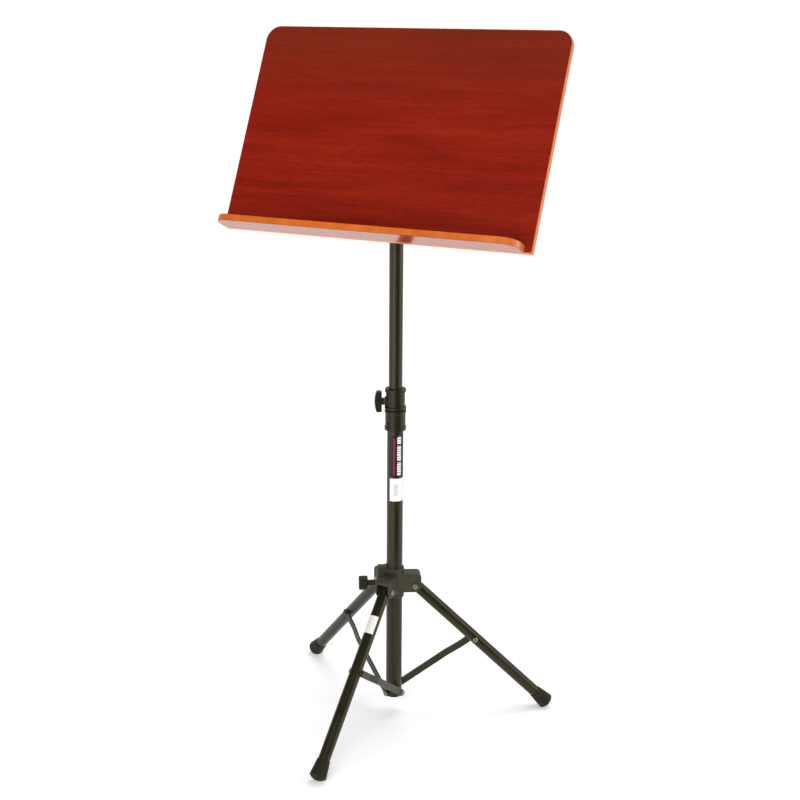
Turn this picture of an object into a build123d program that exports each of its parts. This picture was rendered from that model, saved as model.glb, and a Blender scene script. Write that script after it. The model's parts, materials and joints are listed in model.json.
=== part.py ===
from build123d import *
import os
from math import atan2, cos, degrees, hypot, pi, radians, sin, sqrt

# Folding music stand: a wooden desk that tilts on a telescopic steel mast, over a
# tripod whose three legs fold up around the column.  Millimetres, +Z up, the floor at
# z = 0 and the music side of the desk facing -Y.  Every piece is built around the
# column's axis, and the whole stand is then moved so that the origin is at the middle
# of its footprint.

os.makedirs("parts", exist_ok=True)

# ------------------------------------------------------------------ driving dimensions
# tubes
COLUMN_D = 28.6
COLUMN_WALL = 1.5
COLUMN_BOTTOM = 34.0
COLUMN_TOP = 573.7
MAST_D = 23.8
MAST_WALL = 1.2
MAST_BOTTOM = 427.1
LEG_D = 20.6
LEG_WALL = 1.2

# clearances
RUN = 0.05            # radial, between a shaft and the bore it runs in
SEAT = 0.02           # radial, between pieces that are pressed together
FACE = 0.15           # axial, between flat faces that turn on each other
HUB_CLEAR = 0.08      # radial, between the sliding hub and the column

# tripod linkage, in the plane of one leg: r out from the column's axis, z up
LEG_AZIMUTHS = {"front": -90, "right": 30, "left": 150}
LEG_PIVOT_R = 36.6
LEG_PIVOT_Z = 249.4
LEG_SPREAD = 45.7     # degrees between a spread leg and the vertical
LEG_TO_RIVET = 155.1
LEG_TO_FOOT = 342.2   # from the pivot to the widest ring of the foot
BRACE_PIN_Z = 37.4
BRACE_T = 3.0
BRACE_W = 12.2
BRACE_AT_COLUMN = COLUMN_D / 2 + 0.15     # inner face of the strip beside the column
BRACE_AT_LEG = LEG_D / 2 + 0.2            # inner face of the strip beside the leg

# desk
DESK_W = 558.0
DESK_H = 364.0
DESK_T = 12.0
VENEER = 0.6
DESK_TILT = 25.6      # degrees the face leans back from the vertical
DESK_FOOT_Y = -96.5   # the face's bottom edge, from the column's axis
DESK_FOOT_Z = 886.2
LEDGE_D = 41.5
LEDGE_T = 11.4
LEDGE_W = 545.0
LEDGE_SHIFT = -6.0   # the ledge sits a little to the left of the desk's middle
PIVOT_BEHIND = 28.0   # tilt pivot behind the desk's back

# clutch that holds the mast
CLUTCH_BOTTOM = 539.7
CLUTCH_TOP = 614.1
CLUTCH_SPLIT = 576.5
CLUTCH_FLANGE_D = 37.9
SOCKET_D = 35.6
COLLAR_D = 33.4
CLUTCH_KNOB_Z = 590.7
SET_SCREW_AZIMUTH = 250
PLATE_AZIMUTH = -56   # the blank plates and the small hole in the mast
MAST_HOLE_Z = 700.1

# hub that carries the legs
HUB_BOTTOM = 226.7
HUB_TOP = 283.7
HUB_D = 34.4
LUG_BOTTOM = 237.9
LUG_TOP = 272.7
LUG_REACH = 47.6
LUG_W = 27.0
LUG_GAP = 21.6
BOSS_REACH = 33.0       # the round boss that the clamp screw goes through
BLOCK_REACH = 31.0      # the upright block above it
HUB_KNOB_Z = 252.7
KNOB_AZIMUTH = 210    # both clamp knobs look away from the right leg

# hardware
BOLT_D = 6.0
STUD_D = 8.0
THROUGH = 60.0        # longer than any bore that goes right through a piece

# ------------------------------------------------------------------------ worked out
column_inner = COLUMN_D - 2 * COLUMN_WALL
mast_inner = MAST_D - 2 * MAST_WALL
leg_inner = LEG_D - 2 * LEG_WALL
spread = radians(LEG_SPREAD)
rivet_r = LEG_PIVOT_R + LEG_TO_RIVET * sin(spread)
rivet_z = LEG_PIVOT_Z - LEG_TO_RIVET * cos(spread)
brace_length = hypot(rivet_r, rivet_z - BRACE_PIN_Z)
brace_lean = degrees(atan2(rivet_r, rivet_z - BRACE_PIN_Z))
tilt = radians(DESK_TILT)
# the pivot lies on the mast's axis, PIVOT_BEHIND behind the desk's back
pivot_depth = DESK_T + PIVOT_BEHIND
pivot_up = (-DESK_FOOT_Y - pivot_depth * cos(tilt)) / sin(tilt)
PIVOT_Z = DESK_FOOT_Z + pivot_up * cos(tilt) - pivot_depth * sin(tilt)
MAST_TOP = PIVOT_Z - 19.0

made = {}


# ---------------------------------------------------------------------------- helpers
def rod(diameter, length):
    """A cylinder standing on z = 0."""
    return Cylinder(diameter / 2, length, align=(Align.CENTER, Align.CENTER, Align.MIN))


def ring(outer, inner, length):
    """A tube standing on z = 0."""
    return rod(outer, length) - rod(inner, length)


def lift(z, shape):
    return Pos(0, 0, z) * shape


def radial(shape, r, z, azimuth):
    """Lay a shape that stands on z = 0 outwards, from radius r at height z."""
    return Rot(0, 0, azimuth) * Pos(r, 0, z) * Rot(0, 90, 0) * shape


def sideways(shape, x, y, z):
    """Lay a shape that stands on z = 0 along +Y, from (x, y, z)."""
    return Pos(x, y, z) * Rot(-90, 0, 0) * shape


def button(diameter, height, rounding):
    """A round head on z = 0 with its top edge rounded."""
    head = rod(diameter, height)
    return fillet(head.edges().sort_by(Axis.Z)[-1], rounding)


def cross_recess(size, depth):
    slot = Box(size, size / 4, depth, align=(Align.CENTER, Align.CENTER, Align.MAX))
    return slot + Rot(0, 0, 90) * slot


def pan_screw(head_d, head_h, shank_d, shank_l):
    """Head above z = 0, shank below, with a cross recess."""
    head = button(head_d, head_h, head_h * 0.6)
    head -= lift(head_h, cross_recess(head_d * 0.55, head_h * 0.55))
    return head + lift(-shank_l, rod(shank_d, shank_l))


def side_profile(points, width):
    """Extrude an outline given in the r, z plane to both sides of that plane."""
    face = Plane.XZ * make_face(points)
    return extrude(face, width / 2, both=True)


# ---------------------------------------------------------------------------- column
def column_pieces():
    tube = lift(COLUMN_BOTTOM, ring(COLUMN_D, column_inner, COLUMN_TOP - COLUMN_BOTTOM))
    for azimuth in LEG_AZIMUTHS.values():
        wall_hole = rod(BOLT_D + 2 * SEAT, 4.0)
        tube -= radial(wall_hole, COLUMN_D / 2 - 3.0, BRACE_PIN_Z, azimuth + 90)
    made["column_tube"] = tube

    flange = lift(COLUMN_BOTTOM - 3.0, rod(COLUMN_D, 3.0 - SEAT))
    flange = fillet(flange.edges().sort_by(Axis.Z)[0], 1.2)
    plug_d = column_inner - 2 * RUN
    plug = flange + lift(COLUMN_BOTTOM - 1.0, rod(plug_d, 16.0))
    made["column_end_plug"] = plug - lift(COLUMN_BOTTOM + 1.0, rod(plug_d - 4.0, 15.0))


def brace_pins():
    pins = []
    head_face = BRACE_AT_COLUMN + BRACE_T + FACE
    for azimuth in LEG_AZIMUTHS.values():
        shank_l = head_face - column_inner / 2 - 0.1
        pin = pan_screw(10.0, 3.0, BOLT_D, shank_l)
        pins.append(radial(pin, head_face, BRACE_PIN_Z, azimuth + 90))
    made["brace_pins"] = Compound(pins)


# ---------------------------------------------------------------------------- clutch
def clutch_pieces():
    bore_d = COLUMN_D + 2 * SEAT
    low_flange_top = CLUTCH_BOTTOM + 7.6
    mid_flange = 5.2
    groove = 1.6
    spigot_d = 31.0
    spigot_h = 8.0
    socket_top = CLUTCH_SPLIT - groove / 2

    socket = lift(CLUTCH_BOTTOM, rod(CLUTCH_FLANGE_D, low_flange_top - CLUTCH_BOTTOM))
    socket += lift(socket_top - mid_flange, rod(CLUTCH_FLANGE_D, mid_flange))
    rims = socket.edges().filter_by(GeomType.CIRCLE)
    socket = fillet(rims, 1.2)
    socket += lift(CLUTCH_BOTTOM + 1.0, rod(SOCKET_D, socket_top - CLUTCH_BOTTOM - 2.0))
    socket += blank_plate(CLUTCH_BOTTOM + 9.5, SOCKET_D)
    socket += lift(socket_top - 1.0, rod(spigot_d, spigot_h + 1.0))
    socket -= lift(CLUTCH_BOTTOM - 1.0, rod(bore_d, 60.0))
    screw_z = CLUTCH_BOTTOM + 14.0
    socket -= radial(rod(5.6, 10.0), COLUMN_D / 2 - 2.0, screw_z, SET_SCREW_AZIMUTH)
    made["clutch_socket"] = socket
    grub = rod(5.5, 1.6) - lift(1.6, cross_recess(3.4, 1.0))
    made["clutch_set_screw"] = radial(grub, COLUMN_D / 2 + 0.1, screw_z, SET_SCREW_AZIMUTH)

    collar_bottom = CLUTCH_SPLIT + groove / 2
    liner_d = MAST_D + 2 * RUN + 3.0
    collar = lift(collar_bottom, rod(CLUTCH_FLANGE_D, 5.2))
    collar += lift(CLUTCH_TOP - 7.0, rod(CLUTCH_FLANGE_D - 1.2, 7.0))
    collar = fillet(collar.edges().filter_by(GeomType.CIRCLE), 1.4)
    collar += lift(collar_bottom + 1.0, rod(COLLAR_D, CLUTCH_TOP - collar_bottom - 2.0))
    collar += blank_plate(collar_bottom + 7.5, COLLAR_D)
    collar += radial(rod(17.0, 10.0), 8.6, CLUTCH_KNOB_Z, KNOB_AZIMUTH)
    collar -= lift(collar_bottom - 1.0, rod(spigot_d + 2 * SEAT, spigot_h + 1.0))
    collar -= lift(collar_bottom, rod(liner_d + 2 * SEAT, 60.0))
    insert_d = 12.0
    collar -= radial(rod(insert_d + 2 * SEAT, 12.0), 8.0, CLUTCH_KNOB_Z, KNOB_AZIMUTH)
    made["clutch_collar"] = collar

    insert = radial(ring(insert_d, STUD_D + 2 * RUN, 4.6), 13.9, CLUTCH_KNOB_Z, KNOB_AZIMUTH)
    made["clutch_thread_insert"] = insert

    liner_h = CLUTCH_TOP - collar_bottom - spigot_h - 1.0
    liner = lift(collar_bottom + spigot_h, ring(liner_d, MAST_D + 2 * RUN, liner_h))
    liner -= radial(rod(9.6, 8.0), 8.0, CLUTCH_KNOB_Z, KNOB_AZIMUTH)
    made["clutch_liner"] = liner


def blank_plate(z, body_d):
    """A blank raised rectangle moulded on the side of a round body."""
    proud = 0.9
    tall = 16.5
    block = Box(12.0, 17.5, tall, align=(Align.CENTER, Align.CENTER, Align.MIN))
    pad = Pos(body_d / 2, 0, 0) * block & rod(body_d + 2 * proud, tall)
    return Rot(0, 0, PLATE_AZIMUTH) * lift(z, pad)


def clutch_knob():
    bar_inner = 23.9
    bar_outer = 36.4
    half_tall = 18.4
    end_outer = 33.0
    outline = Line((bar_inner, -half_tall), (end_outer, -half_tall))
    outline += ThreePointArc((end_outer, -half_tall), (bar_outer, 0), (end_outer, half_tall))
    outline += Line((end_outer, half_tall), (bar_inner, half_tall))
    outline += Line((bar_inner, half_tall), (bar_inner, -half_tall))
    bar = side_profile(outline, 13.0)
    bar = fillet(bar.edges(), 1.5)
    stem = Pos(19.2, 0, 0) * Rot(0, 90, 0) * rod(12.9, 8.0)
    stud_cavity = Pos(19.0, 0, 0) * Rot(0, 90, 0) * rod(STUD_D + 2 * SEAT, 11.0)
    grip = bar + stem - stud_cavity
    place = Rot(0, 0, KNOB_AZIMUTH) * Pos(0, 0, CLUTCH_KNOB_Z)
    made["clutch_knob_grip"] = place * grip
    pad_face = MAST_D / 2 + FACE
    pad_t = 1.4
    stud_start = pad_face + pad_t
    stud = rod(STUD_D, 29.9 - stud_start)
    made["clutch_knob_stud"] = radial(stud, stud_start, CLUTCH_KNOB_Z, KNOB_AZIMUTH)
    made["clutch_pressure_pad"] = radial(rod(9.0, pad_t), pad_face, CLUTCH_KNOB_Z, KNOB_AZIMUTH)


# ------------------------------------------------------------------------------ mast
def mast_pieces():
    tube = lift(MAST_BOTTOM, ring(MAST_D, mast_inner, MAST_TOP - MAST_BOTTOM))
    tube -= radial(rod(3.0, 4.0), MAST_D / 2 - 3.0, MAST_HOLE_Z, PLATE_AZIMUTH)
    pin_z = MAST_TOP - 13.0
    pin_d = 4.0
    pin_hole = Pos(-20, 0, pin_z) * Rot(0, 90, 0) * rod(pin_d + 2 * SEAT, 40.0)
    tube -= pin_hole
    made["mast_tube"] = tube

    head_w = 17.0
    neck = lift(MAST_TOP - 25.0, rod(mast_inner - 2 * SEAT, 25.0))
    shoulder = lift(MAST_TOP, rod(MAST_D, 4.0))
    cheek_h = PIVOT_Z - MAST_TOP
    cheek = lift(MAST_TOP + cheek_h / 2, Box(head_w, 20.0, cheek_h))
    eye = Pos(-head_w / 2, 0, PIVOT_Z) * Rot(0, 90, 0) * rod(22.0, head_w)
    head = neck + shoulder + cheek + eye
    head -= Pos(-20, 0, PIVOT_Z) * Rot(0, 90, 0) * rod(BOLT_D + 2 * RUN, 40.0)
    made["tilt_head"] = head - pin_hole
    pin_l = MAST_D - 0.4
    made["tilt_head_pin"] = Pos(-pin_l / 2, 0, pin_z) * Rot(0, 90, 0) * rod(pin_d, pin_l)

    bush_h = 40.0
    bush_d = column_inner - 2 * RUN
    bush = lift(MAST_BOTTOM + FACE, ring(bush_d, MAST_D + 2 * RUN, bush_h - 2 * FACE))
    made["mast_guide_bush"] = bush
    cap = lift(MAST_BOTTOM - 3.0, rod(bush_d - 0.6, 3.0 - SEAT))
    cap += lift(MAST_BOTTOM - 1.0, rod(mast_inner - 2 * SEAT, 14.0))
    made["mast_end_cap"] = cap
    made["mast_stop_ring"] = lift(MAST_BOTTOM + bush_h, ring(bush_d - 0.3, MAST_D + 2 * SEAT, 3.0))


# ------------------------------------------------------------------------------- hub
def lug_outline(bottom, top, reach, low_round, top_round):
    inner = 9.0
    low_arc = (reach - low_round * (1 - cos(pi / 4)), bottom + low_round * (1 - sin(pi / 4)))
    top_arc = (reach - top_round * (1 - cos(pi / 4)), top - top_round * (1 - sin(pi / 4)))
    outline = Line((inner, bottom), (reach - low_round, bottom))
    outline += ThreePointArc((reach - low_round, bottom), low_arc, (reach, bottom + low_round))
    outline += Line((reach, bottom + low_round), (reach, top - top_round))
    outline += ThreePointArc((reach, top - top_round), top_arc, (reach - top_round, top))
    outline += Line((reach - top_round, top), (inner, top))
    outline += Line((inner, top), (inner, bottom))
    return outline


def hub_pieces():
    wall = 2.6
    end_wall_bottom = LUG_TOP - 9.0
    lug = side_profile(lug_outline(LUG_BOTTOM, LUG_TOP, LUG_REACH, 11.0, 8.0), LUG_W)
    lug = fillet(lug.faces().filter_by(Axis.Y).edges(), 1.2)
    inner_round = 8.0 - wall
    cavity = lug_outline(LUG_BOTTOM - 20, LUG_TOP - 3.0, LUG_REACH - wall, 1.0, inner_round)
    lug -= side_profile(cavity, LUG_GAP) - Box(40, 60, 600)
    mouth = Box(40, LUG_GAP, 60, align=(Align.MIN, Align.CENTER, Align.MAX))
    lug -= Pos(LEG_PIVOT_R, 0, end_wall_bottom) * mouth
    lug -= sideways(rod(BOLT_D + 2 * SEAT, THROUGH), LEG_PIVOT_R, -THROUGH / 2, LEG_PIVOT_Z)

    hub = lift(HUB_BOTTOM, rod(HUB_D, HUB_TOP - HUB_BOTTOM))
    hub = fillet(hub.edges().filter_by(GeomType.CIRCLE), 1.2)
    for azimuth in LEG_AZIMUTHS.values():
        hub += Rot(0, 0, azimuth) * lug
    block = side_profile(lug_outline(HUB_BOTTOM + 4, HUB_TOP + 1.6, BLOCK_REACH, 4.0, 2.0), 15.0)
    block = fillet(block.faces().filter_by(Axis.Y).edges(), 1.0)
    hub += Rot(0, 0, KNOB_AZIMUTH) * block
    hub += radial(rod(17.0, BOSS_REACH - 16.0), 16.0, HUB_KNOB_Z, KNOB_AZIMUTH)
    hub -= lift(HUB_BOTTOM - 1, rod(COLUMN_D + 2 * HUB_CLEAR, HUB_TOP - HUB_BOTTOM + 4))
    insert_d = 13.0
    hub -= radial(rod(insert_d + 2 * SEAT, 40), 17.5, HUB_KNOB_Z, KNOB_AZIMUTH)
    hub -= radial(rod(STUD_D + 1.4, 20), 8.0, HUB_KNOB_Z, KNOB_AZIMUTH)
    made["hub_body"] = hub
    insert_r = 17.6
    insert = ring(insert_d, STUD_D + 2 * RUN, BOSS_REACH - insert_r)
    made["hub_thread_insert"] = radial(insert, insert_r, HUB_KNOB_Z, KNOB_AZIMUTH)

    bolts = []
    nuts = []
    half = LUG_W / 2
    for azimuth in LEG_AZIMUTHS.values():
        turn = Rot(0, 0, azimuth)
        bolt = pan_screw(9.4, 2.6, BOLT_D, LUG_W + 1.6)
        bolts.append(turn * Pos(LEG_PIVOT_R, -half, LEG_PIVOT_Z) * Rot(90, 0, 0) * bolt)
        nut = button(9.4, 2.4, 1.4) - rod(BOLT_D + 2 * SEAT, 1.7)
        nuts.append(turn * sideways(nut, LEG_PIVOT_R, half, LEG_PIVOT_Z))
    made["leg_pivot_bolts"] = Compound(bolts)
    made["leg_pivot_nuts"] = Compound(nuts)


def hub_knob():
    grip_r = 48.0
    grip_t = 16.0
    grip_d = 25.6
    grip = chamfer(rod(grip_d, grip_t).edges().filter_by(GeomType.CIRCLE), 1.6)
    flute = Pos(grip_d / 2 + 0.5, 0, -1) * rod(2.6, grip_t + 2)
    for i in range(18):
        grip -= Rot(0, 0, i * 20) * flute
    neck = grip_r - BOSS_REACH - 0.6
    grip += lift(-neck, rod(11.0, neck + 1.0))
    grip -= lift(-neck, rod(STUD_D + 2 * SEAT, neck + 11.0))
    made["hub_knob_grip"] = radial(grip, grip_r, HUB_KNOB_Z, KNOB_AZIMUTH)
    pad_face = COLUMN_D / 2 + FACE
    pad_t = 1.6
    stud_start = pad_face + pad_t
    stud = rod(STUD_D, grip_r + 11.0 - stud_start)
    made["hub_knob_stud"] = radial(stud, stud_start, HUB_KNOB_Z, KNOB_AZIMUTH)
    made["hub_pressure_pad"] = radial(rod(8.6, pad_t), pad_face, HUB_KNOB_Z, KNOB_AZIMUTH)


# -------------------------------------------------------------------- legs and braces
def boot():
    """Rubber boot that widens to a shallow dome, its axis along -Z of the leg."""
    start = LEG_TO_FOOT - 28.0
    mouth = 11.3
    bulge = 14.7
    corner = 2.5
    corner_in = bulge - corner
    nose = 7.6
    bore_end = LEG_TO_FOOT - 4.0
    bore = LEG_D / 2 + SEAT
    turn = radians(70)
    dome_edge = corner_in + corner * cos(turn)
    dome_low = -LEG_TO_FOOT - corner * sin(turn)
    mid_corner = (corner_in + corner * cos(turn / 2), -LEG_TO_FOOT - corner * sin(turn / 2))
    tip = -LEG_TO_FOOT - nose
    dome_r = (dome_edge**2 + (dome_low - tip) ** 2) / (2 * (dome_low - tip))
    dome_mid = (dome_edge / 2, tip + dome_r - sqrt(dome_r**2 - dome_edge**2 / 4))
    with BuildPart() as rubber:
        with BuildSketch(Plane.XZ):
            with BuildLine():
                Line((bore, -start), (mouth, -start))
                Line((mouth, -start), (bulge, -LEG_TO_FOOT))
                ThreePointArc((bulge, -LEG_TO_FOOT), mid_corner, (dome_edge, dome_low))
                ThreePointArc((dome_edge, dome_low), dome_mid, (0, tip))
                Line((0, tip), (0, -bore_end))
                Line((0, -bore_end), (bore, -bore_end))
                Line((bore, -bore_end), (bore, -start))
            make_face()
        revolve(axis=Axis.Z)
    return rubber.part


def leg_pieces(name, azimuth):
    place = Rot(0, 0, azimuth) * Pos(LEG_PIVOT_R, 0, LEG_PIVOT_Z) * Rot(0, -LEG_SPREAD, 0)
    top_end = 5.0
    low_end = LEG_TO_FOOT - 4.5
    cross_hole = sideways(rod(BOLT_D + 2 * RUN, THROUGH), 0, -THROUGH / 2, 0)
    rivet_hole = sideways(rod(BOLT_D + 2 * SEAT, THROUGH), 0, -THROUGH / 2, -LEG_TO_RIVET)
    tube = lift(-low_end, ring(LEG_D, leg_inner, low_end + top_end))
    made[f"leg_tube_{name}"] = place * (tube - cross_hole - rivet_hole)

    cap = lift(top_end + SEAT, button(LEG_D - 0.6, 4.5, 3.5))
    plug = cap + lift(-20.0, rod(leg_inner - 2 * SEAT, 20.0 + top_end + 1.0))
    made[f"leg_top_plug_{name}"] = place * (plug - cross_hole)

    rubber = place * boot()
    below_floor = Box(1000, 1000, 50, align=(Align.CENTER, Align.CENTER, Align.MAX))
    made[f"foot_{name}"] = rubber - below_floor

    half = LEG_D / 2
    clinch_h = 1.8
    clinch = lift(-clinch_h, Rot(180, 0, 0) * lift(-clinch_h, button(9.0, clinch_h - 0.1, 0.8)))
    clinch += lift(-1.0, rod(BOLT_D, LEG_D + 1.1))
    clinch -= lift(-4.0, rod(3.4, LEG_D))
    made[f"leg_rivet_{name}"] = place * sideways(clinch, 0, -half, -LEG_TO_RIVET)


def brace_pieces(name, azimuth):
    place = Rot(0, 0, azimuth) * Pos(0, 0, BRACE_PIN_Z) * Rot(0, brace_lean, 0)
    bend_start = 118.0
    bend_end = 146.0
    step = BRACE_AT_COLUMN - BRACE_AT_LEG
    end = BRACE_W / 2
    # side view of the strip: y is the distance beside the leg's plane, z along the strip
    low = [(BRACE_AT_COLUMN, -end), (BRACE_AT_COLUMN, bend_start), (BRACE_AT_LEG, bend_end),
           (BRACE_AT_LEG, brace_length + end)]
    high = [(y + BRACE_T, z) for y, z in reversed(low)]
    side = make_face(Polyline(*low, *high, close=True))
    strip = extrude(Plane.YZ * side, end, both=True)
    middle = Box(BRACE_W, THROUGH, brace_length, align=(Align.CENTER, Align.CENTER, Align.MIN))
    round_end = sideways(rod(BRACE_W, THROUGH), 0, -THROUGH / 2, 0)
    strip &= middle + round_end + lift(brace_length, round_end)
    strip -= sideways(rod(BOLT_D + 2 * RUN, THROUGH), 0, -THROUGH / 2, 0)
    strip -= sideways(rod(BOLT_D + 2 * SEAT, THROUGH), 0, -THROUGH / 2, brace_length)
    made[f"brace_{name}"] = place * strip
    head = button(10.0, 2.6, 2.0) + lift(-BRACE_T, rod(BOLT_D, BRACE_T))
    made[f"brace_rivet_{name}"] = place * sideways(head, 0, BRACE_AT_LEG + BRACE_T, brace_length)


# ------------------------------------------------------------------------------ desk
desk_place = Pos(0, DESK_FOOT_Y, DESK_FOOT_Z) * Rot(-DESK_TILT, 0, 0)


def board(width, height, corner_low, corner_high, thickness):
    """A board standing on z = 0 with its face at y = 0 and its back at y = thickness."""
    outline = Rectangle(width, height, align=(Align.CENTER, Align.MIN))
    corners = outline.vertices().sort_by(Axis.Y)
    outline = fillet(corners[2:], corner_high)
    outline = fillet(outline.vertices().group_by(Axis.Y)[0], corner_low)
    return Rot(90, 0, 0) * extrude(outline, -thickness)


def desk_pieces():
    trim = 1.0
    core_t = DESK_T - 2 * VENEER
    top_round = 25.0
    low_round = 3.0
    core = Pos(0, VENEER, 0) * board(DESK_W, DESK_H, low_round, top_round, core_t)
    core = chamfer(core.edges().group_by(Axis.Y)[0], 0.5)
    core = chamfer(core.edges().group_by(Axis.Y)[-1], 0.5)
    sheet_w = DESK_W - 2 * trim
    sheet_h = DESK_H - 2 * trim
    sheet = Pos(0, 0, trim) * board(sheet_w, sheet_h, low_round, top_round - trim, VENEER)
    back_sheet = Pos(0, DESK_T - VENEER, 0) * sheet

    along = Pos(LEDGE_SHIFT, 0, 0)
    ledge = Rectangle(LEDGE_W, LEDGE_D, align=(Align.CENTER, Align.MAX))
    ledge = fillet(ledge.vertices().sort_by(Axis.Y)[:2], 26.0)
    ledge_core = along * Pos(0, 0, VENEER) * extrude(ledge, LEDGE_T - 2 * VENEER)
    lined = Rectangle(LEDGE_W - 2 * trim, LEDGE_D - trim, align=(Align.CENTER, Align.MAX))
    lined = fillet(lined.vertices().sort_by(Axis.Y)[:2], 25.0)
    ledge_under = along * extrude(lined, VENEER)
    ledge_over = Pos(0, 0, LEDGE_T - VENEER) * ledge_under

    wood_screws = []
    screw_d = 4.0
    screw_l = 34.0
    for x in (-210, -70, 70, 210):
        head = Pos(x, DESK_T, LEDGE_T / 2) * Rot(90, 0, 0)
        cone = Cone(4.0, screw_d / 2, 2.4, align=(Align.CENTER, Align.CENTER, Align.MIN))
        screw = cone - Pos(0, 0, 1.2) * cross_recess(4.2, 1.2)
        screw += rod(screw_d, screw_l)
        screw -= Pos(0, 0, 1.2) * cross_recess(4.2, 1.2)
        wood_screws.append(head * screw)
        hole = rod(screw_d + 2 * SEAT, screw_l + 0.5) + Pos(0, 0, -0.05) * Cone(
            4.05 + SEAT, screw_d / 2, 2.5, align=(Align.CENTER, Align.CENTER, Align.MIN))
        core -= head * hole
        sheet -= head * hole
        back_sheet -= head * hole
        ledge_core -= head * hole
    made["ledge_screws"] = desk_place * Compound(wood_screws)

    plate_w = 92.0
    plate_h = 84.0
    plate_t = 2.5
    ear_gap = 20.7
    ear_t = 2.5
    ear_half = 13.0
    plate = Pos(0, DESK_T, pivot_up) * Rot(-90, 0, 0) * extrude(
        fillet(Rectangle(plate_w, plate_h).vertices(), 8.0), plate_t)
    ear = Box(ear_t, PIVOT_BEHIND, 2 * ear_half, align=(Align.MIN, Align.MAX, Align.CENTER))
    ear += Rot(0, 90, 0) * rod(2 * ear_half, ear_t)
    ear -= Pos(-5, 0, 0) * Rot(0, 90, 0) * rod(BOLT_D + 2 * SEAT, 20)
    pivot_at = Pos(0, pivot_depth, pivot_up)
    ears = Pos(ear_gap / 2, 0, 0) * ear + Pos(-ear_gap / 2 - ear_t, 0, 0) * ear
    bracket = plate + pivot_at * ears
    bracket_screws = []
    for x in (-34, 34):
        for z in (-30, 30):
            at = Pos(x, DESK_T + plate_t, pivot_up + z) * Rot(-90, 0, 0)
            bracket_screws.append(at * pan_screw(8.0, 2.6, 4.0, 10.0))
            hole = Pos(0, 0, -10.2) * rod(4.0 + 2 * SEAT, 20)
            bracket -= at * hole
            back_sheet -= at * hole
            core -= at * hole
    made["desk_core"] = desk_place * core
    made["desk_face_veneer"] = desk_place * sheet
    made["desk_back_veneer"] = desk_place * back_sheet
    made["ledge_core"] = desk_place * ledge_core
    made["ledge_top_veneer"] = desk_place * ledge_over
    made["ledge_underside_veneer"] = desk_place * ledge_under
    made["tilt_bracket"] = desk_place * bracket
    made["bracket_screws"] = desk_place * Compound(bracket_screws)

    pivot = desk_place * pivot_at
    ear_out = ear_gap / 2 + ear_t
    head = button(15.0, 4.0, 2.6)
    bolt = Pos(-ear_out, 0, 0) * Rot(0, -90, 0) * head
    bolt += Pos(-ear_out, 0, 0) * Rot(0, 90, 0) * rod(BOLT_D, ear_out + 31.0)
    made["tilt_bolt"] = pivot * bolt
    washer = ring(21.0, BOLT_D + 2 * SEAT, 1.55)
    washer_x = 8.65
    right_washer = Pos(washer_x, 0, 0) * Rot(0, 90, 0) * washer
    left_washer = Pos(-washer_x, 0, 0) * Rot(0, -90, 0) * washer
    made["tilt_washers"] = pivot * Compound([right_washer, left_washer])

    knob_start = ear_out + 0.3
    insert_d = 10.0
    insert = ring(insert_d, BOLT_D + 2 * RUN, 12.0)
    made["tilt_knob_insert"] = pivot * Pos(knob_start, 0, 0) * Rot(0, 90, 0) * insert
    grip = lift(4.0, rod(30.0, 12.0))
    grip = fillet(grip.edges().filter_by(GeomType.CIRCLE), 2.0)
    for i in range(6):
        grip -= Rot(0, 0, i * 60) * Pos(18.5, 0, 0) * rod(12.0, 20.0)
    grip += rod(16.0, 5.0)
    grip -= rod(insert_d + 2 * SEAT, 12.0)
    grip -= rod(BOLT_D + 1.0, 17.0)
    made["tilt_knob_grip"] = pivot * Pos(knob_start, 0, 0) * Rot(0, 90, 0) * grip


column_pieces()
brace_pins()
clutch_pieces()
clutch_knob()
mast_pieces()
hub_pieces()
hub_knob()
for name, azimuth in LEG_AZIMUTHS.items():
    leg_pieces(name, azimuth)
    brace_pieces(name, azimuth)
desk_pieces()

# the origin goes to the middle of the stand's footprint, on the floor
box = Compound(list(made.values())).bounding_box()
column_y = -(box.min.Y + box.max.Y) / 2
for node, piece in made.items():
    export_step(Pos(0, column_y, 0) * piece, f"parts/{node}.step")

print("nodes", len(made))
print("box", box.min, box.max)
print("column axis y", round(column_y, 4))
print("tilt pivot z", round(PIVOT_Z, 4), "up the face", round(pivot_up, 3))
print("brace length", round(brace_length, 3), "lean", round(brace_lean, 3))
folded_lean = degrees(atan2(LEG_PIVOT_R, sqrt(brace_length**2 - LEG_PIVOT_R**2)))
hub_rise = BRACE_PIN_Z + sqrt(brace_length**2 - LEG_PIVOT_R**2) + LEG_TO_RIVET - LEG_PIVOT_Z
print("hub rise", round(hub_rise, 3), "folded lean", round(folded_lean, 3))
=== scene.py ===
# %% [markdown]
# # A folding music stand, dressed in Blender
# The stand was designed as a CAD model, with every tube, rivet and knob at its real size.
# Here it is loaded as a fixed frame.  Nothing in it is moved: the lesson is about light,
# finishes and the last layer of modelling that a CAD drawing leaves out.
# Everything is in metres, with the floor at z = 0 and the music side facing -Y.

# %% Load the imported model
import json
import math

import bpy
from mathutils import Matrix, Vector


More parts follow.
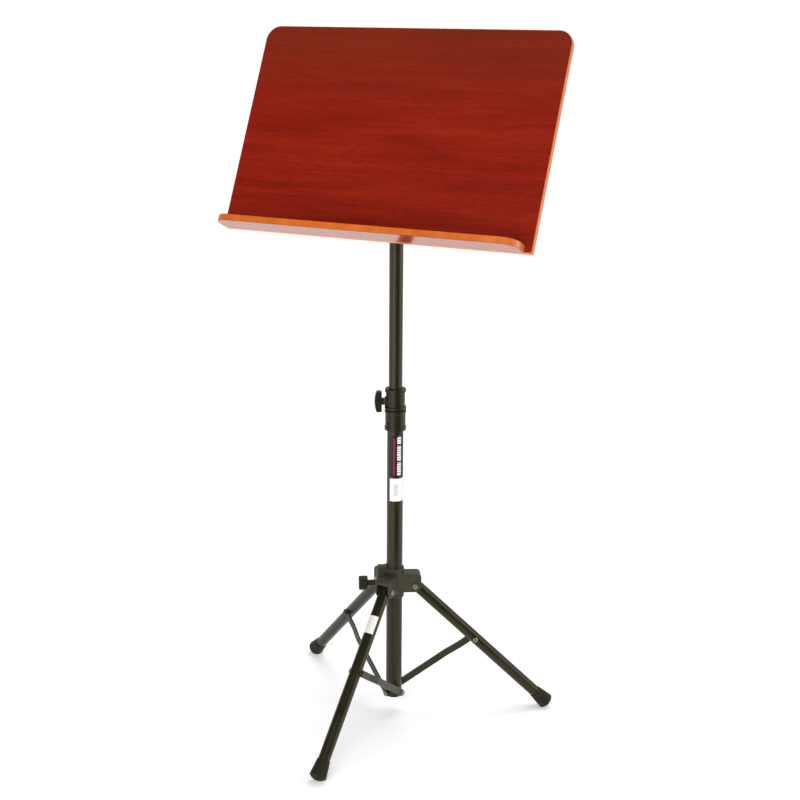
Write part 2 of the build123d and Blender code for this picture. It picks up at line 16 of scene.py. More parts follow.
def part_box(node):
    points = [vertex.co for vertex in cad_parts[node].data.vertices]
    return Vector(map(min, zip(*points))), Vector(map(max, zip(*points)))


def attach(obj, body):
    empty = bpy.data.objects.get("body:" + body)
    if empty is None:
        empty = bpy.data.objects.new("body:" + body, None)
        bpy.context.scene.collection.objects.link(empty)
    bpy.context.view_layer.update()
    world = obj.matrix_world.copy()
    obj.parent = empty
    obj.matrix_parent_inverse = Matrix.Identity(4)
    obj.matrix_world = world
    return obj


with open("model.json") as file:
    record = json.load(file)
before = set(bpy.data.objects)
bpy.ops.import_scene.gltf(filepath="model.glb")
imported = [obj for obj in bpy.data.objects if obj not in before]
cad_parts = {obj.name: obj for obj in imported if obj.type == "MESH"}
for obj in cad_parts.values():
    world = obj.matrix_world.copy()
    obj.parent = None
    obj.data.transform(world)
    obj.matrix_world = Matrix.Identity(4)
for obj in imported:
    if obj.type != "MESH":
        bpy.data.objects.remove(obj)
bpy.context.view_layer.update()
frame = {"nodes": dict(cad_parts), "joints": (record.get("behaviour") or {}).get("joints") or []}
nodes = frame["nodes"]
joints = {joint["name"]: joint for joint in frame["joints"]}
MM = 0.001

# %% [markdown]
# ## The camera
# The stand is seen from a little to the right of its music side, from just above the
# desk's height and looking slightly down.  The camera is placed from the column's axis by
# a distance, a height and an angle round it, as a photographer would walk round a stand.
# A moderately long lens keeps the tubes from converging.

# %% Place the camera
column_low, column_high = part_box("column_tube")
axis_x = (column_low.x + column_high.x) / 2
axis_y = (column_low.y + column_high.y) / 2
column_r = (column_high.x - column_low.x) / 2

CAMERA_DISTANCE = 2.3329
CAMERA_HEIGHT = 1.2513
CAMERA_AZIMUTH = math.radians(26.509)
CAMERA_YAW = math.radians(0.192)
CAMERA_PITCH = math.radians(15.766)
CAMERA_ROLL = math.radians(0.397)
LENS = 63.05

camera_data = bpy.data.cameras.new("camera")
camera_data.lens = LENS
camera_data.sensor_width = 36.0
camera = bpy.data.objects.new("camera", camera_data)
bpy.context.scene.collection.objects.link(camera)
camera_place = Vector((axis_x + CAMERA_DISTANCE * math.sin(CAMERA_AZIMUTH),
                       axis_y - CAMERA_DISTANCE * math.cos(CAMERA_AZIMUTH),
                       CAMERA_HEIGHT))
camera.matrix_world = (Matrix.Translation(camera_place)
                       @ Matrix.Rotation(CAMERA_AZIMUTH - CAMERA_YAW, 4, "Z")
                       @ Matrix.Rotation(math.pi / 2 - CAMERA_PITCH, 4, "X")
                       @ Matrix.Rotation(CAMERA_ROLL, 4, "Z"))
bpy.context.scene.camera = camera
bpy.context.scene.view_settings.view_transform = "Standard"
print("camera at", [round(v, 3) for v in camera_place])

# %% [markdown]
# ## The studio
# A product like this is shown on a white sweep under big soft lights.  A pale floor and a
# white world stand for the sweep; the floor glows a little further out, as paper does
# under its own background lights, so that it runs into the world without a seam.
# Lacquer and black paint only look right when they also mirror something dark, so the
# world has one dark region, high up on the music side, where the board's face looks.

# %% Floor
FLOOR_SIZE = 60.0
FLOOR_DROP = 0.2 * MM
GLOW_FROM, GLOW_TO = 0.3, 3.0
GLOW_NEAR, GLOW_FAR = 0.25, 0.72
bpy.ops.object.select_all(action="DESELECT")
bpy.ops.mesh.primitive_plane_add(size=FLOOR_SIZE, location=(0, 0, -FLOOR_DROP))
floor = bpy.context.object
floor.name = "studio_floor"
floor_paper = bpy.data.materials.new("white_paper")
floor_paper.use_nodes = True
paper = floor_paper.node_tree
paper_shader = paper.nodes["Principled BSDF"]
paper_shader.inputs["Base Color"].default_value = (0.90, 0.90, 0.90, 1)
paper_shader.inputs["Roughness"].default_value = 0.9
paper_shader.inputs["Specular IOR Level"].default_value = 0.1
paper_shader.inputs["Emission Color"].default_value = (1, 1, 1, 1)
floor_spot = paper.nodes.new("ShaderNodeTexCoord")
floor_far = paper.nodes.new("ShaderNodeVectorMath")
floor_far.operation = "LENGTH"
paper.links.new(floor_spot.outputs["Object"], floor_far.inputs[0])
floor_glow = paper.nodes.new("ShaderNodeMapRange")
floor_glow.inputs["From Min"].default_value = GLOW_FROM
floor_glow.inputs["From Max"].default_value = GLOW_TO
floor_glow.inputs["To Min"].default_value = GLOW_NEAR
floor_glow.inputs["To Max"].default_value = GLOW_FAR
paper.links.new(floor_far.outputs["Value"], floor_glow.inputs["Value"])
paper.links.new(floor_glow.outputs["Result"], paper_shader.inputs["Emission Strength"])
floor.data.materials.append(floor_paper)

# %% World
world = bpy.data.worlds.new("white_studio")
bpy.context.scene.world = world
world.use_nodes = True
sky = world.node_tree
sky.nodes.clear()
DARK_REGION = Vector((-0.25, -0.66, 0.70)).normalized()
direction = sky.nodes.new("ShaderNodeTexCoord")
facing = sky.nodes.new("ShaderNodeVectorMath")
facing.operation = "DOT_PRODUCT"
facing.inputs[1].default_value = DARK_REGION
sky.links.new(direction.outputs["Generated"], facing.inputs[0])
shade = sky.nodes.new("ShaderNodeValToRGB")
shade.color_ramp.elements[0].position = 0.15
shade.color_ramp.elements[0].color = (1.0, 1.0, 1.0, 1)
shade.color_ramp.elements[1].position = 0.75
shade.color_ramp.elements[1].color = (0.05, 0.05, 0.05, 1)
sky.links.new(facing.outputs["Value"], shade.inputs["Fac"])
lighting = sky.nodes.new("ShaderNodeBackground")
lighting.inputs["Strength"].default_value = 0.70
sky.links.new(shade.outputs["Color"], lighting.inputs["Color"])
seen = sky.nodes.new("ShaderNodeBackground")
seen.inputs["Color"].default_value = (1.0, 1.0, 1.0, 1)
rays = sky.nodes.new("ShaderNodeLightPath")
choice = sky.nodes.new("ShaderNodeMixShader")
sky.links.new(rays.outputs["Is Camera Ray"], choice.inputs["Fac"])
sky.links.new(lighting.outputs["Background"], choice.inputs[1])
sky.links.new(seen.outputs["Background"], choice.inputs[2])
sky_out = sky.nodes.new("ShaderNodeOutputWorld")
sky.links.new(choice.outputs["Shader"], sky_out.inputs["Surface"])

# %% [markdown]
# Four soft boxes stand round the stand and aim at its middle.  Each is placed by an angle
# from the camera's side, a distance and a height.  The front key lights the board, a
# narrow box gives the tubes their left streak, one on the right draws their other edge,
# and one overhead and behind lifts the tops of the hub's lugs.

# %% Soft boxes
STAND_MIDDLE = Vector((axis_x, axis_y, 0.75))


def studio_spot(azimuth, distance, height):
    """A place at an angle round the stand from the camera's side, to its right."""
    angle = CAMERA_AZIMUTH + math.radians(azimuth)
    return Vector((axis_x + distance * math.sin(angle), axis_y - distance * math.cos(angle),
                   height))


def soft_box(name, azimuth, distance, height, width, tall, watts):
    """An area light aimed at the stand, itself out of the camera's sight."""
    light_data = bpy.data.lights.new(name, "AREA")
    light_data.shape = "RECTANGLE"
    light_data.size = width
    light_data.size_y = tall
    light_data.energy = watts
    light = bpy.data.objects.new(name, light_data)
    bpy.context.scene.collection.objects.link(light)
    light.location = studio_spot(azimuth, distance, height)
    aim = (STAND_MIDDLE - light.location).to_track_quat("-Z", "Y")
    light.rotation_euler = aim.to_euler()
    light.visible_camera = False
    print("light", name, watts, "W")


soft_box("front_key", -12, 3.2, 2.0, 1.6, 1.2, 62)
soft_box("left_stripe", -38, 1.4, 0.70, 0.55, 1.3, 5)
soft_box("right_edge", 80, 2.6, 1.2, 0.7, 2.0, 16)
soft_box("overhead", 150, 0.9, 3.2, 2.0, 2.0, 42)

# %% [markdown]
# A round black tube in an all-white room looks flat, because every side of it mirrors the
# same white.  Photographers stand a black card just out of the picture, so that the tube
# mirrors a dark band beside its highlight.  The card here is seen by reflections only.

# %% Black card
bpy.ops.object.select_all(action="DESELECT")
bpy.ops.mesh.primitive_plane_add(size=1.0)
black_card = bpy.context.object
black_card.name = "black_card"
CARD_W, CARD_H = 0.66, 1.25
CARD_AZIMUTH, CARD_DISTANCE = 26, 0.62
CARD_LIFT = 5 * MM
card_spot = studio_spot(CARD_AZIMUTH, CARD_DISTANCE, CARD_H / 2 + CARD_LIFT)
card_aim = (Vector((axis_x, axis_y, card_spot.z)) - card_spot).to_track_quat("Z", "Y")
black_card.matrix_world = (Matrix.Translation(card_spot) @ card_aim.to_matrix().to_4x4()
                           @ Matrix.Diagonal((CARD_W, CARD_H, 1, 1)))
card_felt = bpy.data.materials.new("black_felt")
card_felt.use_nodes = True
felt_shader = card_felt.node_tree.nodes["Principled BSDF"]
felt_shader.inputs["Base Color"].default_value = (0.01, 0.01, 0.01, 1)
felt_shader.inputs["Roughness"].default_value = 1.0
black_card.data.materials.append(card_felt)
black_card.visible_camera = False
black_card.visible_diffuse = False
black_card.visible_shadow = False

# %% [markdown]
# ## Finishes
# Each finish is a small node tree on Object coordinates, which here are the stand's own
# metres.  A mapping node set to Texture first moves and turns into the piece's own frame
# and then divides by its scale, so the scale reads as the size of the pattern's features.


# %% Helpers for finishes
def new_finish(name, roughness, **sockets):
    """A material with a Principled shader; returns it, its tree and the shader."""
    finish = bpy.data.materials.new(name)
    finish.use_nodes = True
    shader = finish.node_tree.nodes["Principled BSDF"]
    shader.inputs["Roughness"].default_value = roughness
    for socket, value in sockets.items():
        shader.inputs[socket.replace("_", " ")].default_value = value
    return finish, finish.node_tree, shader


def pattern_place(tree, feature=(1, 1, 1), centre=(0, 0, 0), turn=(0, 0, 0), source="Object"):
    """Coordinates in a piece's own frame, counted in features."""
    place = tree.nodes.new("ShaderNodeTexCoord")
    mapping = tree.nodes.new("ShaderNodeMapping")
    mapping.vector_type = "TEXTURE"
    mapping.inputs["Location"].default_value = centre
    mapping.inputs["Rotation"].default_value = turn
    mapping.inputs["Scale"].default_value = feature
    tree.links.new(place.outputs[source], mapping.inputs["Vector"])
    return mapping.outputs["Vector"]


def noise(tree, vector, detail=3.0, rough=0.5, distortion=0.0):
    texture = tree.nodes.new("ShaderNodeTexNoise")
    texture.inputs["Scale"].default_value = 1.0
    texture.inputs["Detail"].default_value = detail
    texture.inputs["Roughness"].default_value = rough
    texture.inputs["Distortion"].default_value = distortion
    tree.links.new(vector, texture.inputs["Vector"])
    return texture.outputs["Fac"]


def ramp(tree, value, *stops):
    """A colour ramp: each stop is a position and a colour, or a grey."""
    node = tree.nodes.new("ShaderNodeValToRGB")
    elements = node.color_ramp.elements
    while len(elements) < len(stops):
        elements.new(0.5)
    for element, (position, colour) in zip(elements, stops):
        element.position = position
        if isinstance(colour, (int, float)):
            colour = (colour, colour, colour)
        element.color = (*colour, 1)
    tree.links.new(value, node.inputs["Fac"])
    return node.outputs["Color"]


def mix(tree, amount, first, second, blend="MIX"):
    """Mix two colours; amount is a number or an output."""
    node = tree.nodes.new("ShaderNodeMix")
    node.data_type = "RGBA"
    node.blend_type = blend
    factor, colour_a, colour_b = node.inputs[0], node.inputs[6], node.inputs[7]
    for socket, value in ((factor, amount), (colour_a, first), (colour_b, second)):
        if isinstance(value, bpy.types.NodeSocket):
            tree.links.new(value, socket)
        elif isinstance(value, (int, float)):
            socket.default_value = value
        else:
            socket.default_value = (*value, 1)
    return node.outputs[2]


def bump(tree, shader, height, distance, strength=1.0, under=None):
    node = tree.nodes.new("ShaderNodeBump")
    node.inputs["Strength"].default_value = strength
    node.inputs["Distance"].default_value = distance
    tree.links.new(height, node.inputs["Height"])
    if under is not None:
        tree.links.new(under, node.inputs["Normal"])
    tree.links.new(node.outputs["Normal"], shader.inputs["Normal"])
    return node.outputs["Normal"]


def soft_corner(tree, radius):
    """A normal that rounds sharp corners, so that they catch the light."""
    node = tree.nodes.new("ShaderNodeBevel")
    node.samples = 6
    node.inputs["Radius"].default_value = radius
    return node.outputs["Normal"]


# %% [markdown]
# ### Powder coat
# The tubes carry a semi-gloss olive black powder coat.  Baked powder never lies quite
# flat: it has a faint orange peel about a millimetre across, which softens its
# reflections, and its gloss wanders a little.  Fine scuffs run where hands slide.


# %% Powder coat on tubes, braces and bracket
WARM_SHEEN = (1.0, 0.93, 0.66, 1)


def powder_coat(name, dark, light, roughness, peel):
    """Baked powder between two tones, with orange peel as deep as peel."""
    finish, tree, shader = new_finish(name, roughness, Specular_IOR_Level=0.36,
                                      Specular_Tint=WARM_SHEEN)
    cloud = noise(tree, pattern_place(tree, (0.05, 0.05, 0.09)), 4.0, 0.6)
    tone = ramp(tree, cloud, (0.35, dark), (0.65, light))
    fine = noise(tree, pattern_place(tree, (0.0011, 0.0011, 0.0011)), 2.0, 0.5)
    scuff = noise(tree, pattern_place(tree, (0.0016, 0.0016, 0.03)), 3.0, 0.7)
    scuffed = ramp(tree, scuff, (0.66, 0.0), (0.80, 0.30))
    rubbed = tuple(2 * channel for channel in light)
    tree.links.new(mix(tree, scuffed, tone, rubbed), shader.inputs["Base Color"])
    gloss = ramp(tree, cloud, (0.3, roughness - 0.06), (0.7, roughness + 0.07))
    tree.links.new(gloss, shader.inputs["Roughness"])
    bump(tree, shader, fine, peel)
    return finish


tube_coat = powder_coat("olive_black_powder_coat", (0.0110, 0.0100, 0.0040),
                        (0.0160, 0.0144, 0.0064), 0.28, 0.00003)
brace_coat = powder_coat("brace_powder_coat", (0.014, 0.013, 0.007), (0.022, 0.020, 0.012),
                         0.34, 0.00003)
bracket_coat = powder_coat("bracket_powder_coat", (0.011, 0.010, 0.006), (0.018, 0.016, 0.011),
                           0.34, 0.00004)

# %% [markdown]
# ### Moulded nylon and rubber
# The hub, the clutch and the knobs are moulded in glass-filled nylon.  Its surface is
# eroded to a fine even grain, and it stays a shade lighter than the paint.  The boots are
# soft rubber, matt, with a bloom of pale dust near the floor.


# %% Moulded plastics
MOULD_CORNER = 0.8 * MM


def moulded(name, dark, light, roughness, grain, depth):
    """Moulded plastic with an eroded grain and corners rounded as a mould leaves them."""
    finish, tree, shader = new_finish(name, roughness, Specular_IOR_Level=0.28,
                                      Specular_Tint=WARM_SHEEN)
    cloud = noise(tree, pattern_place(tree, (0.02, 0.02, 0.02)), 3.0, 0.6)
    erosion = noise(tree, pattern_place(tree, (grain, grain, grain)), 3.0, 0.6)
    tone = ramp(tree, cloud, (0.3, dark), (0.7, light))
    speckle = ramp(tree, erosion, (0.3, 0.82), (0.7, 1.12))
    tree.links.new(mix(tree, 1.0, tone, speckle, "MULTIPLY"), shader.inputs["Base Color"])
    gloss = ramp(tree, erosion, (0.3, roughness + 0.08), (0.7, roughness - 0.05))
    tree.links.new(gloss, shader.inputs["Roughness"])
    bump(tree, shader, erosion, depth, under=soft_corner(tree, MOULD_CORNER))
    return finish


hub_nylon = moulded("hub_glass_nylon", (0.028, 0.026, 0.018), (0.046, 0.043, 0.032),
                    0.42, 0.0007, 0.00006)
black_nylon = moulded("black_nylon", (0.009, 0.008, 0.0045), (0.016, 0.014, 0.009),
                      0.28, 0.0006, 0.00005)
grey_nylon = moulded("natural_nylon", (0.33, 0.33, 0.31), (0.40, 0.40, 0.38),
                     0.45, 0.0006, 0.00003)

# %% Rubber boots
boot_rubber, tree, shader = new_finish("boot_rubber_matt", 0.62, Specular_IOR_Level=0.28,
                                       Specular_Tint=WARM_SHEEN)
skin = noise(tree, pattern_place(tree, (0.0009, 0.0009, 0.0009)), 4.0, 0.65)
patch = noise(tree, pattern_place(tree, (0.012, 0.012, 0.012)), 3.0, 0.6)
rubber_tone = ramp(tree, patch, (0.3, (0.008, 0.0075, 0.005)), (0.7, (0.014, 0.013, 0.009)))
height_above = tree.nodes.new("ShaderNodeSeparateXYZ")
tree.links.new(pattern_place(tree, (1, 1, 0.012)), height_above.inputs["Vector"])
dust_low = ramp(tree, height_above.outputs["Z"], (0.0, 0.30), (1.0, 0.0))
dust = mix(tree, 1.0, dust_low, ramp(tree, patch, (0.35, 0.0), (0.7, 1.0)), "MULTIPLY")
tree.links.new(mix(tree, dust, rubber_tone, (0.09, 0.083, 0.066)), shader.inputs["Base Color"])
tree.links.new(ramp(tree, patch, (0.3, 0.55), (0.7, 0.72)), shader.inputs["Roughness"])
bump(tree, shader, skin, 0.0001)

# %% [markdown]
# ### Zinc and brass
# Screws and rivets are steel with bright zinc plate: a slightly warm silver whose gloss
# is broken by fine scratches.  The threaded inserts inside the knobs are turned brass.


# %% Plated and turned metal
def bare_metal(name, dark, light, roughness, scratch):
    """Clean metal whose scratches have the size of scratch along each axis."""
    finish, tree, shader = new_finish(name, roughness, Metallic=1.0)
    cloud = noise(tree, pattern_place(tree, (0.004, 0.004, 0.004)), 3.0, 0.6)
    tree.links.new(ramp(tree, cloud, (0.3, dark), (0.7, light)), shader.inputs["Base Color"])
    lines = noise(tree, pattern_place(tree, scratch), 3.0, 0.6)
    gloss = ramp(tree, lines, (0.3, roughness - 0.1), (0.7, roughness + 0.12))
    tree.links.new(gloss, shader.inputs["Roughness"])
    bump(tree, shader, lines, 0.00002)
    return finish


zinc_plate = bare_metal("bright_zinc_plate", (0.22, 0.20, 0.15), (0.38, 0.35, 0.28),
                        0.34, (0.0004, 0.0004, 0.002))
turned_brass = bare_metal("turned_brass_insert", (0.62, 0.45, 0.18), (0.78, 0.60, 0.28),
                          0.28, (0.002, 0.0002, 0.002))

# %% [markdown]
# ### Rosewood veneer
# The board is faced on both sides with dark red rosewood whose grain runs from side to
# side, under clear lacquer.  Three layers make it: a slow figure in broad streaks, a
# finer streak that darkens it, and pores, short dark dashes a fraction of a millimetre
# tall.  All are noise stretched along X in the board's own frame, turned back by its tilt.
# The lacquer is the shader's coat, so the wood underneath can stay satin.

# %% Rosewood on the desk and ledge
desk_tilt = -math.radians(joints["desk_tilt"]["range_deg"][0])
desk_low, desk_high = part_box("desk_core")
board_foot = (0, desk_low.y, desk_low.z)
board_turn = (-desk_tilt, 0, 0)
board_height = (desk_high.z - desk_low.z) / math.cos(desk_tilt)


def in_board(tree, feature):
    """Coordinates along the board's width, thickness and height."""
    return pattern_place(tree, feature, board_foot, board_turn)


def rosewood(name, coat, coat_roughness, coat_ior, tint):
    """Rosewood under lacquer; tint multiplies the wood's own colour, and a pale tint paints in a
    reflection.
    """
    finish, tree, shader = new_finish(name, 0.42, Coat_Weight=coat,
                                      Coat_Roughness=coat_roughness, Coat_IOR=coat_ior,
                                      Specular_IOR_Level=0.08, Coat_Tint=(1.0, 0.91, 0.80, 1))
    figure = noise(tree, in_board(tree, (0.30, 0.05, 0.022)), 5.0, 0.55, 0.6)
    streak = noise(tree, in_board(tree, (0.16, 0.02, 0.0035)), 4.0, 0.6, 0.3)
    pores = noise(tree, in_board(tree, (0.012, 0.002, 0.0006)), 2.0, 0.5)
    wood = ramp(tree, figure, (0.30, (0.205, 0.0105, 0.0040)), (0.52, (0.262, 0.0135, 0.0048)),
                (0.72, (0.300, 0.0200, 0.0064)))
    wood = mix(tree, 1.0, wood, tint, "MULTIPLY")
    wood = mix(tree, 1.0, wood, ramp(tree, streak, (0.35, 0.86), (0.65, 1.05)), "MULTIPLY")
    wood = mix(tree, 1.0, wood, ramp(tree, pores, (0.34, 0.62), (0.44, 1.0)), "MULTIPLY")
    up = tree.nodes.new("ShaderNodeSeparateXYZ")
    tree.links.new(in_board(tree, (1, 1, board_height)), up.inputs["Vector"])
    browner = ramp(tree, up.outputs["Z"], (0.55, 0.0), (1.0, 0.55))
    tree.links.new(mix(tree, browner, wood, (0.150, 0.026, 0.010)), shader.inputs["Base Color"])
    tree.links.new(ramp(tree, streak, (0.3, 0.36), (0.7, 0.50)), shader.inputs["Roughness"])
    bump(tree, shader, pores, 0.00004, 0.5)
    return finish


veneer = rosewood("lacquered_rosewood", 0.28, 0.16, 1.5, (1.0, 1.0, 1.0))
# the underside of the ledge is seen from just below; it gets a thicker lacquer coat, and the
# white room's reflection that washes the red out is painted into the wood's colour by a pale tint
painted_reflection_veneer = rosewood("thick_lacquer_rosewood_painted_reflection", 1.0, 0.12, 1.55, (1.1, 2.4, 1.4))

# %% [markdown]
# ### Stained edges
# Board and ledge are plywood, stained orange along their cut edges before lacquering.
# The plies still show as thin darker lines that run with the edge, and the stain is
# deeper where the end grain drinks it.

# %% Orange edges
edge_stain, tree, shader = new_finish("orange_stained_edge", 0.38, Coat_Weight=0.35,
                                      Coat_Roughness=0.15, Coat_IOR=1.5)
soak = noise(tree, in_board(tree, (0.03, 0.004, 0.03)), 4.0, 0.6)
plies = noise(tree, in_board(tree, (0.25, 0.0011, 0.25)), 2.0, 0.5)
stain = ramp(tree, soak, (0.3, (0.54, 0.104, 0.0080)), (0.55, (0.61, 0.130, 0.0120)),
             (0.75, (0.68, 0.165, 0.0200)))
stain = mix(tree, 1.0, stain, ramp(tree, plies, (0.36, 0.90), (0.60, 1.03)), "MULTIPLY")
tree.links.new(stain, shader.inputs["Base Color"])
tree.links.new(ramp(tree, soak, (0.3, 0.32), (0.7, 0.46)), shader.inputs["Roughness"])
bump(tree, shader, plies, 0.00006, 0.6)

# %% Put the finishes on the CAD pieces
finish_for = {
    "tube_paint": tube_coat,
    "brace_paint": brace_coat,
    "bracket_paint": bracket_coat,
    "hub_moulding": hub_nylon,
    "moulded_black": black_nylon,
    "boot_rubber": boot_rubber,
    "nylon_grey": grey_nylon,
    "zinc": zinc_plate,
    "brass": turned_brass,
    "rosewood_veneer": veneer,
    "core_wood": edge_stain,
}
for node in nodes.values():
    slot = node.material_slots[0]
    slot.material = finish_for[slot.material.name]
nodes["ledge_underside_veneer"].material_slots[0].material = painted_reflection_veneer
print("finishes on", len(nodes), "CAD pieces")

# %% [markdown]
# ## Printed label and stickers
# A strip of dark label runs down the lower tube, with a magenta stripe and a column of
# white print, and below it is a white stock sticker with a little bar pattern.  A second
# sticker is on the front leg.  Each is cut from a cylinder a hair wider than its tube:
# the side is cut into narrow faces, those outside the sheet are deleted, and a thin
# Solidify gives the paper its edge.  The print has no lettering: blocks stand for words.


# %% A sheet wrapped on a tube
SHEET_SIDES = 360


def select_faces(piece, wanted):
    """Select just the faces of a mesh that wanted(face) picks, by place or normal."""
    mesh = piece.data
    for item in (*mesh.vertices, *mesh.edges):
        item.select = False
    for face in mesh.polygons:
        face.select = wanted(face)


def wrapped_sheet(name, radius, width, tall, thickness, place, finish, body):
    """A paper sheet round a tube that stands at place, its middle facing place's +X."""
    bpy.ops.object.select_all(action="DESELECT")
    bpy.ops.mesh.primitive_cylinder_add(vertices=SHEET_SIDES, radius=radius, depth=tall,
                                        end_fill_type="NOTHING", location=(0, 0, 0))
    sheet = bpy.context.object
    sheet.name = name
    half_arc = width / radius / 2
    select_faces(sheet, lambda face: abs(math.atan2(face.center.y, face.center.x)) > half_arc)
    bpy.ops.object.mode_set(mode="EDIT")
    bpy.ops.mesh.select_mode(type="FACE")
    bpy.ops.mesh.delete(type="FACE")
    bpy.ops.object.mode_set(mode="OBJECT")
    # the map is in millimetres from the sheet's lower left corner
    chart = sheet.data.uv_layers.active
    for face in sheet.data.polygons:
        for loop in face.loop_indices:
            spot = sheet.data.vertices[sheet.data.loops[loop].vertex_index].co
            across = math.atan2(spot.y, spot.x) * radius + width / 2
            chart.data[loop].uv = (across / MM, (spot.z + tall / 2) / MM)
    wall = sheet.modifiers.new("paper", "SOLIDIFY")
    wall.thickness = thickness
    wall.offset = 1.0
    bpy.ops.object.modifier_apply(modifier=wall.name)
    bpy.ops.object.shade_smooth_by_angle(angle=math.radians(30))
    sheet.matrix_world = place
    bpy.ops.object.transform_apply(location=True, rotation=True, scale=True)
    sheet.data.materials.append(finish)
    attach(sheet, body)
    print(name, round(width / MM, 1), "by", round(tall / MM, 1), "mm on", body)
    return sheet


# %% [markdown]
# The prints are drawn with a few Math nodes on the sheet's own map, which counts
# millimetres.  A band is 1 between two values and 0 outside, and bands multiplied
# together make rectangles.


# %% Bands for print
def calculate(tree, operation, first, second):
    """One Math node on two values, each a number or an output."""
    node = tree.nodes.new("ShaderNodeMath")
    node.operation = operation
    for socket, value in zip(node.inputs, (first, second)):
        if isinstance(value, bpy.types.NodeSocket):
            tree.links.new(value, socket)
        else:
            socket.default_value = value
    return node.outputs["Value"]


def band(tree, value, low, high):
    """1 where low < value < high, 0 elsewhere."""
    return calculate(tree, "MULTIPLY", calculate(tree, "GREATER_THAN", value, low),
                     calculate(tree, "LESS_THAN", value, high))


def repeats(tree, value, pitch, filled):
    """1 on the filled share of every pitch, 0 on the gap."""
    turns = calculate(tree, "FRACT", calculate(tree, "DIVIDE", value, pitch), 0.0)
    return calculate(tree, "LESS_THAN", turns, filled)


def sheet_map(tree):
    """How far across and up its sheet a point lies, in millimetres."""
    place = tree.nodes.new("ShaderNodeTexCoord")
    split = tree.nodes.new("ShaderNodeSeparateXYZ")
    tree.links.new(place.outputs["UV"], split.inputs["Vector"])
    return split.outputs["X"], split.outputs["Y"]


# %% Label on the lower tube
LABEL_W, LABEL_H = 23 * MM, 76 * MM
label_print, tree, shader = new_finish("dark_label_print", 0.34, Specular_IOR_Level=0.22)
across, up = sheet_map(tree)
stripe = calculate(tree, "MULTIPLY", band(tree, across, 2.2, 7.8), band(tree, up, 2.5, 72.0))
core_stripe = calculate(tree, "MULTIPLY", band(tree, across, 3.4, 6.6), band(tree, up, 4.0, 70.5))
column_of_print = band(tree, across, 10.2, 17.8)
words = calculate(tree, "MULTIPLY", repeats(tree, up, 4.3, 0.74), column_of_print)
gaps = calculate(tree, "ADD", band(tree, up, 27.0, 30.0), band(tree, up, 57.0, 60.5))
words = calculate(tree, "MULTIPLY", words, calculate(tree, "SUBTRACT", 1.0, gaps))
words = calculate(tree, "MULTIPLY", words, band(tree, up, 2.5, 73.5))
ink_wear = noise(tree, pattern_place(tree, (0.0012, 0.0012, 0.0012)), 3.0, 0.6)
ground = mix(tree, stripe, (0.010, 0.005, 0.008), (0.035, 0.002, 0.013))
ground = mix(tree, core_stripe, ground, (0.23, 0.010, 0.062))
printed = mix(tree, words, ground, (0.84, 0.80, 0.80))
worn = ramp(tree, ink_wear, (0.25, 0.75), (0.55, 1.0))
tree.links.new(mix(tree, 1.0, printed, worn, "MULTIPLY"), shader.inputs["Base Color"])
bump(tree, shader, ink_wear, 0.00002)

LABEL_TURN = math.radians(-44)
PAPER_GAP = 0.03 * MM
PAPER = 0.10 * MM
LABEL_MIDDLE_Z = 0.4945
label_middle = Vector((axis_x, axis_y, LABEL_MIDDLE_Z))
label_place = Matrix.Translation(label_middle) @ Matrix.Rotation(LABEL_TURN, 4, "Z")
wrapped_sheet("tube_label", column_r + PAPER_GAP, LABEL_W, LABEL_H, PAPER, label_place,
              label_print, "column")


# %% White stickers
def sticker_print(name, bars_across, bars_up, pitch, filled, ink):
    """White coated paper with a block of fine bars."""
    finish, tree, shader = new_finish(name, 0.48, Specular_IOR_Level=0.4)
    across, up = sheet_map(tree)
    bars = calculate(tree, "MULTIPLY", repeats(tree, up, pitch, filled),
                     band(tree, across, *bars_across))
    bars = calculate(tree, "MULTIPLY", bars, band(tree, up, *bars_up))
    # the paper is darker in patches a few millimetres across: painted shade of creases
    crease_shade = noise(tree, pattern_place(tree, (0.006, 0.006, 0.006)), 3.0, 0.6)
    fibre = noise(tree, pattern_place(tree, (0.0004, 0.0004, 0.0004)), 3.0, 0.6)
    paper = ramp(tree, crease_shade, (0.3, (0.74, 0.72, 0.68)), (0.7, (0.86, 0.85, 0.82)))
    tree.links.new(mix(tree, bars, paper, ink), shader.inputs["Base Color"])
    bump(tree, shader, fibre, 0.00001)
    return finish


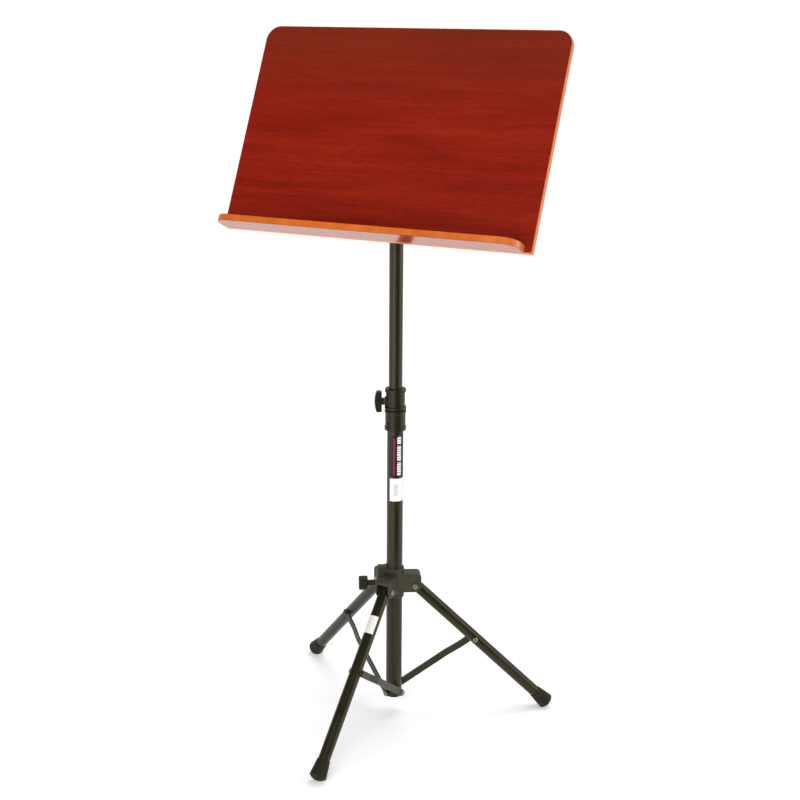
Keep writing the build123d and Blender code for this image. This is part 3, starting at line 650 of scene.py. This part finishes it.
stock_print = sticker_print("stock_sticker_paper", (7.5, 15.0), (10.0, 32.0), 2.1, 0.42,
                            (0.32, 0.32, 0.34))
STOCK_W, STOCK_H = 30 * MM, 42 * MM
STOCK_MIDDLE_Z = 0.4325
STOCK_TURN = math.radians(-43)
stock_middle = Vector((axis_x, axis_y, STOCK_MIDDLE_Z))
stock_place = Matrix.Translation(stock_middle) @ Matrix.Rotation(STOCK_TURN, 4, "Z")
wrapped_sheet("stock_sticker", column_r + PAPER_GAP, STOCK_W, STOCK_H, PAPER, stock_place,
              stock_print, "column")

# %% Sticker on the front leg
# the leg's axis runs from its hinge to the middle of the rivet further down
leg_pivot = Vector(joints["front_leg_hinge"]["pos_m"])
rivet_low, rivet_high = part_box("leg_rivet_front")
rivet_middle = (rivet_low + rivet_high) / 2
rivet_middle.x = leg_pivot.x
down_leg = (rivet_middle - leg_pivot).normalized()
leg_top_low, leg_top_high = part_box("leg_tube_front")
leg_r = (leg_top_high.x - leg_top_low.x) / 2
LEG_STICKER_W = 23 * MM
LEG_STICKER_FROM, LEG_STICKER_TO = 52 * MM, 85 * MM
leg_sticker_middle = leg_pivot + down_leg * (LEG_STICKER_FROM + LEG_STICKER_TO) / 2
# the sheet's up is up the leg, and its middle looks a little left of the camera
toward = camera_place - leg_sticker_middle
toward -= toward.dot(down_leg) * down_leg
toward.normalize()
sideways = (-down_leg).cross(toward)
leg_frame = Matrix((toward, sideways, -down_leg)).transposed().to_4x4()
LEG_STICKER_TURN = math.radians(-34)
leg_sticker_place = (Matrix.Translation(leg_sticker_middle) @ leg_frame
                     @ Matrix.Rotation(LEG_STICKER_TURN, 4, "Z"))
leg_print = sticker_print("leg_sticker_paper", (3.0, 15.5), (7.0, 29.0), 3.1, 0.30,
                          (0.60, 0.60, 0.60))
wrapped_sheet("leg_sticker", leg_r + PAPER_GAP, LEG_STICKER_W, LEG_STICKER_TO - LEG_STICKER_FROM,
              PAPER, leg_sticker_place, leg_print, "front_leg")
